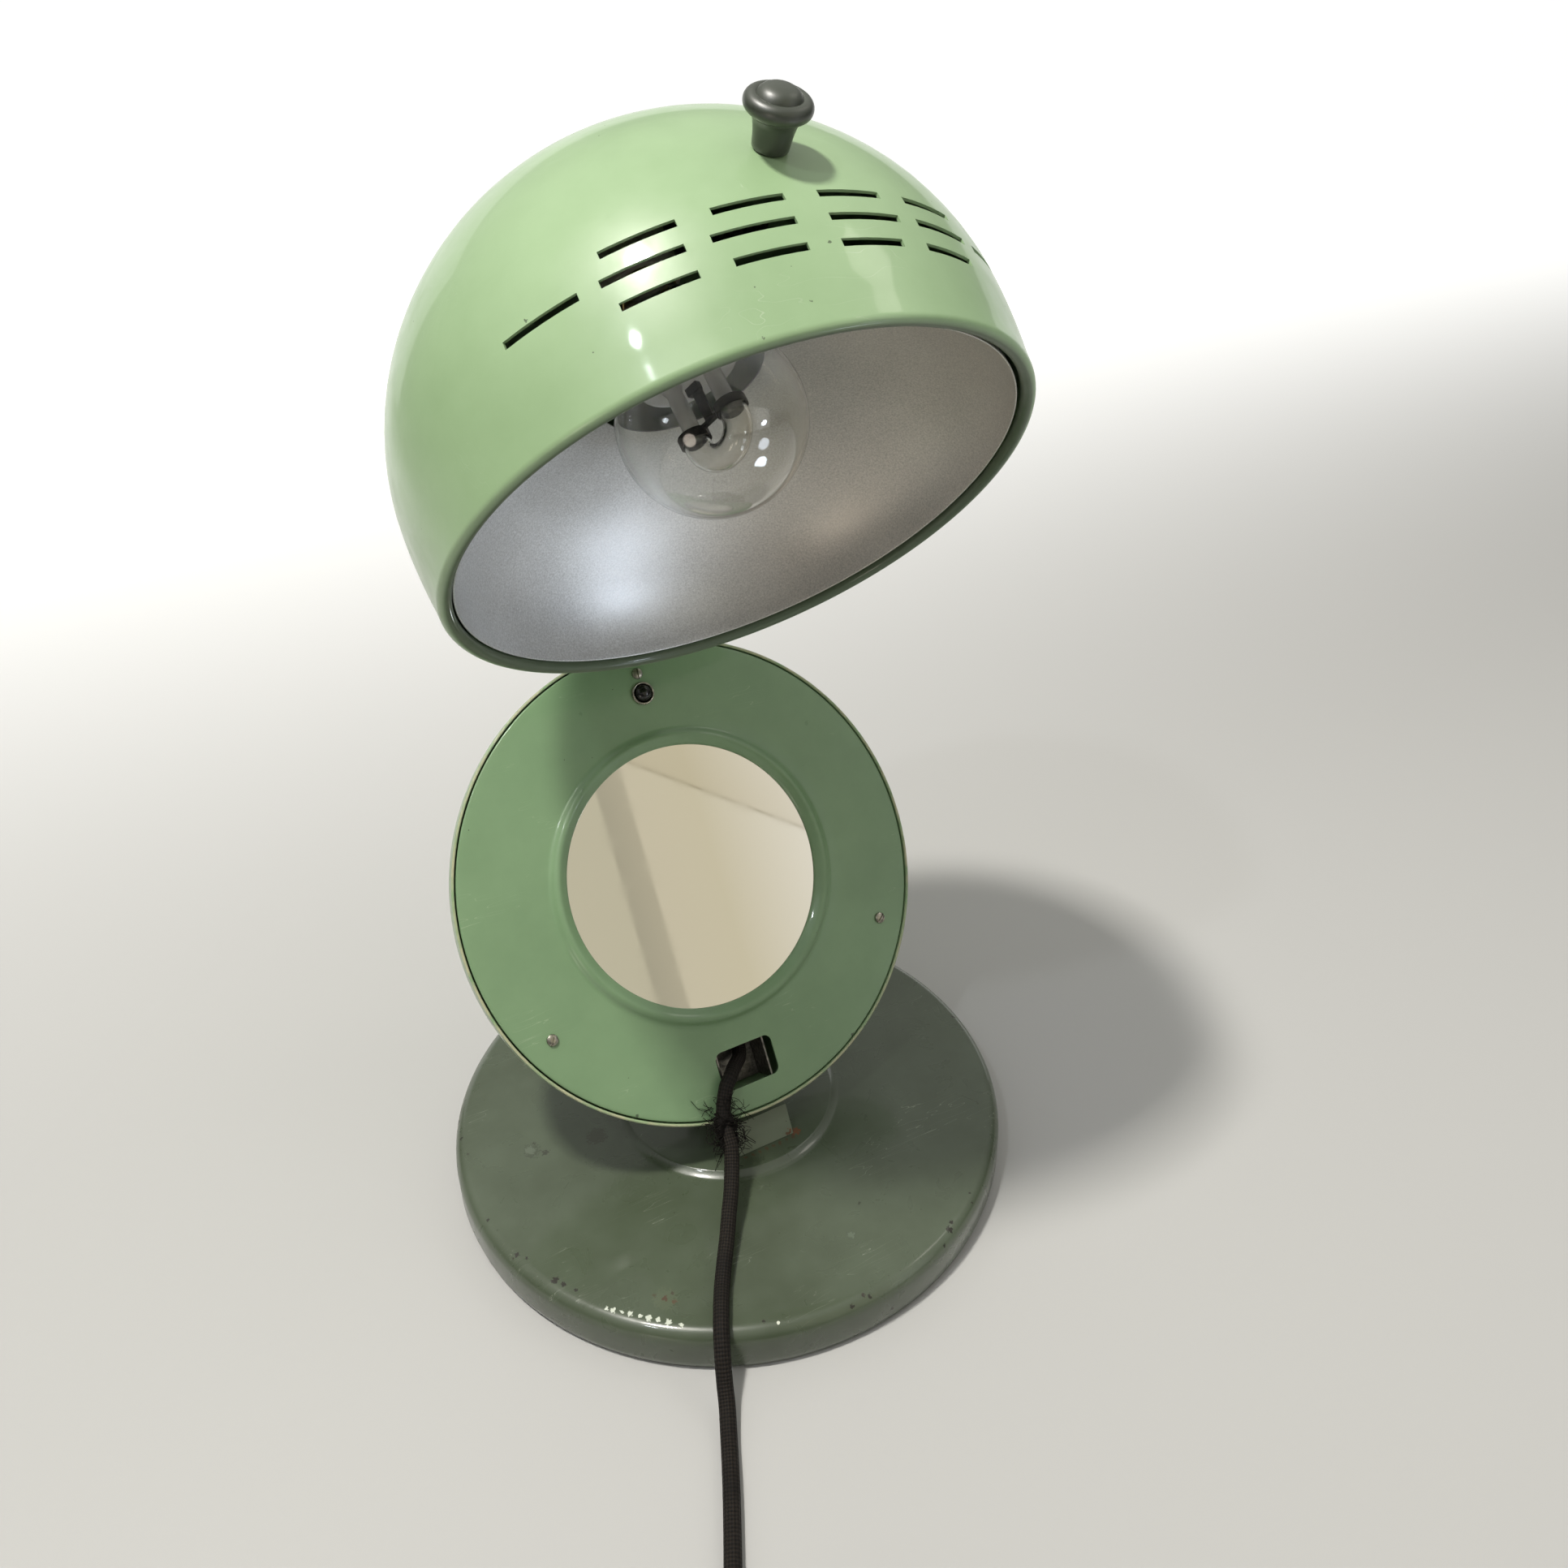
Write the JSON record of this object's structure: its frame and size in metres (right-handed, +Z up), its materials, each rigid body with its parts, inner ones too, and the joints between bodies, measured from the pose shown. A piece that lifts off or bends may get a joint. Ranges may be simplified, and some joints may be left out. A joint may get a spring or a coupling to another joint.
{
  "type": "quartz sun lamp",
  "caption": "Table-top quartz sun lamp: weighted round base, tilting round housing with a mirror in its panel, and a deep slotted hood that folds down over it like a lid.",
  "frame": {"origin": "centre of the base's underside, on the table", "axes": "+Z up, -Y to the front of the lamp, which is the way the mirror and the hood's vent slots face"},
  "size_m": [0.3017, 0.5406, 0.5427],
  "materials": {
    "base_enamel": "dark grey-green enamel, worn",
    "bracket_enamel": "grey-green enamel with rust at the edges",
    "housing_enamel": "green enamel, glossy",
    "panel_enamel": "green enamel, glossy",
    "hood_enamel": "pale green enamel, glossy",
    "knob_lacquer": "dark green, polished",
    "reflector_paint": "aluminium paint, fine grain",
    "cast_iron": "rough, blackened",
    "steel": "zinc plated",
    "nickel": "nickel plated, dulled",
    "brass": "plain brass",
    "mirror": "silvered glass",
    "clear_glass": "clear",
    "quartz": "clear quartz, slightly milky",
    "stem_glass": "pressed glass",
    "dark_metal": "blackened metal",
    "porcelain": "glazed porcelain",
    "black_plastic": "polished moulded resin",
    "coil_wire": "enamelled wire under paper",
    "felt": "dark green felt",
    "braid": "woven cotton braid",
    "thread": "wound thread"
  },
  "bodies": {
    "base": {"base_shell": "base_enamel", "base_weight": "cast_iron", "base_cover": "steel", "base_felt": "felt", "foot_bracket": "bracket_enamel", "foot_screw_1": "steel", "foot_screw_2": "steel", "tilt_pin": "nickel", "tilt_washer": "nickel", "tilt_nut": "nickel", "cord_free": "braid", "cord_coil": "braid", "cord_tie": "thread", "plug_body": "black_plastic", "plug_pin_1": "brass", "plug_pin_2": "brass"},
    "housing": {"housing_shell": "housing_enamel", "front_panel": "panel_enamel", "mirror": "mirror", "mirror_retainer": "steel", "panel_screw_1": "nickel", "panel_screw_2": "nickel", "panel_screw_3": "nickel", "button_collar": "nickel", "switch_body": "black_plastic", "cord_tray": "steel", "cord_clamp": "black_plastic", "terminal_block": "porcelain", "ballast_core": "cast_iron", "ballast_coil": "coil_wire", "tilt_lug": "bracket_enamel", "lug_screw_1": "nickel", "lug_screw_2": "nickel", "hinge_bracket": "housing_enamel", "bracket_screw_1": "nickel", "bracket_screw_2": "nickel", "hinge_pin": "nickel", "hinge_washer": "nickel", "hinge_nut": "nickel", "cord_lead": "braid", "cord_binding": "thread"},
    "button": {"push_button": "black_plastic"},
    "hood": {"hood_shell": "hood_enamel", "knob": "knob_lacquer", "knob_screw": "steel", "hood_hinge_plate": "hood_enamel", "hood_rivet_1": "hood_enamel", "hood_rivet_2": "hood_enamel", "hood_rivet_3": "hood_enamel", "hood_rivet_4": "hood_enamel", "reflector": "reflector_paint", "socket_bridge": "steel", "lamp_socket": "porcelain", "socket_screw": "steel", "bulb_cap": "brass", "bulb_globe": "clear_glass", "burner_stem": "stem_glass", "burner_clip": "dark_metal", "burner_tube": "quartz"}
  },
  "joints": [
    {"name": "housing_tilt", "type": "hinge", "parent": "base", "child": "housing", "pos_m": [0, 0.01, 0.046], "axis": [1, 0, 0], "range_deg": [-12, 5.5], "deforming": ["cord_free"]},
    {"name": "hood_hinge", "type": "hinge", "parent": "housing", "child": "hood", "pos_m": [0, 0.0714, 0.29582], "axis": [1, 0, 0], "range_deg": [-20, 102.5]},
    {"name": "button_press", "type": "slide", "parent": "housing", "child": "button", "axis": [0, 0.8263, -0.5632], "range_m": [0, 0.0025], "stiffness_N_per_m": 800}
  ]
}
